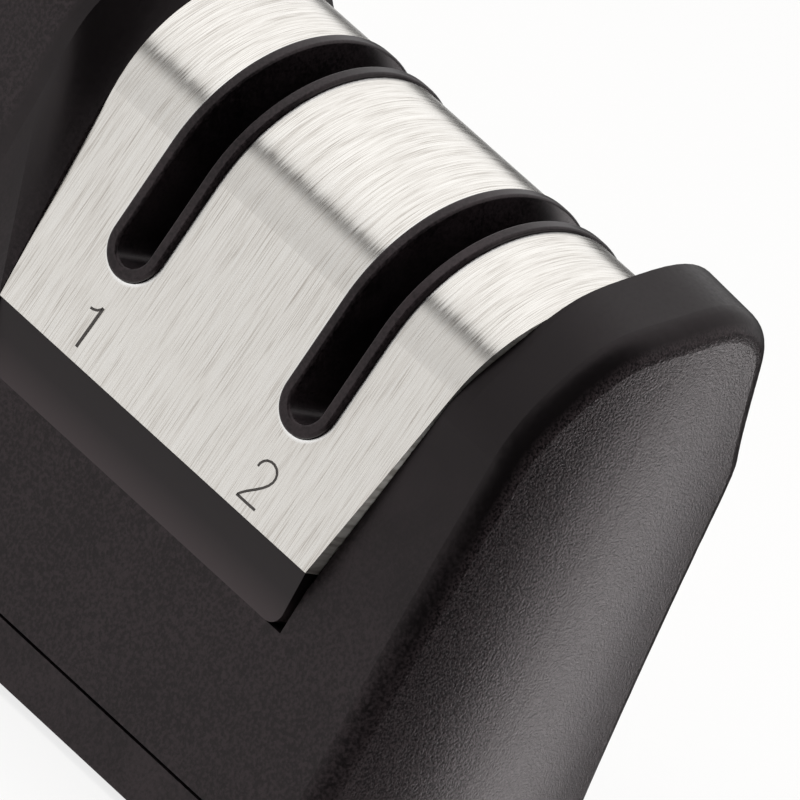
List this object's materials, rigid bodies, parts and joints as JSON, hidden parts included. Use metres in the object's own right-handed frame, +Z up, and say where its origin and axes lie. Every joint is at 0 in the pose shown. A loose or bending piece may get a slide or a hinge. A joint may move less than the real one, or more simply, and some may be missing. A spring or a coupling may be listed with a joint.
{
  "type": "pull through knife sharpener",
  "caption": "Hand-held pull through knife sharpener: black moulded body with a grip, brushed steel saddle over the head, arched blade slots above bevelled abrasive wheels.",
  "frame": {"origin": "middle of the body's length and depth, on the surface that the feet stand on", "axes": "+X along the body from the grip's end to the end cheek, +Y to the back, +Z up"},
  "size_m": [0.1894, 0.0388, 0.0705],
  "materials": {
    "black_body": "black ABS, fine spark-eroded grain",
    "black_satin": "black ABS, smooth satin",
    "brushed_sheet": "brushed stainless sheet, grain along the arch",
    "base_black": "black ABS, fine grain",
    "foot_rubber": "soft matt rubber",
    "zinc_screw": "bright zinc plate",
    "frame_plastic": "dark grey acetal",
    "axle_steel": "ground steel",
    "hub_plastic": "grey nylon",
    "diamond_grit": "nickel plate with diamond grit",
    "ceramic_grit": "fine fired ceramic"
  },
  "bodies": {
    "body": {"housing": "black_body", "base_plate": "base_black", "rubber_feet": "foot_rubber", "base_screws": "zinc_screw", "steel_cover": "brushed_sheet", "guide_carrier": "black_satin", "carrier_screws": "zinc_screw", "coarse_slot_guide": "black_satin", "coarse_cartridge_frame": "frame_plastic", "coarse_frame_screws": "zinc_screw", "coarse_axle": "axle_steel", "coarse_axle_clips": "zinc_screw", "coarse_washers": "axle_steel", "fine_slot_guide": "black_satin", "fine_cartridge_frame": "frame_plastic", "fine_frame_screws": "zinc_screw", "fine_axle": "axle_steel", "fine_axle_clips": "zinc_screw", "fine_washers": "axle_steel"},
    "coarse_wheel_set": {"coarse_hub": "hub_plastic", "coarse_left_wheel": "diamond_grit", "coarse_right_wheel": "diamond_grit"},
    "fine_wheel_set": {"fine_hub": "hub_plastic", "fine_left_wheel": "ceramic_grit", "fine_right_wheel": "ceramic_grit"}
  },
  "joints": [
    {"name": "coarse_wheels_spin", "type": "hinge", "parent": "body", "child": "coarse_wheel_set", "pos_m": [0.03927, 0, 0.036], "axis": [1, 0, 0], "continuous": true},
    {"name": "fine_wheels_spin", "type": "hinge", "parent": "body", "child": "fine_wheel_set", "pos_m": [0.06626, 0, 0.036], "axis": [1, 0, 0], "continuous": true}
  ]
}
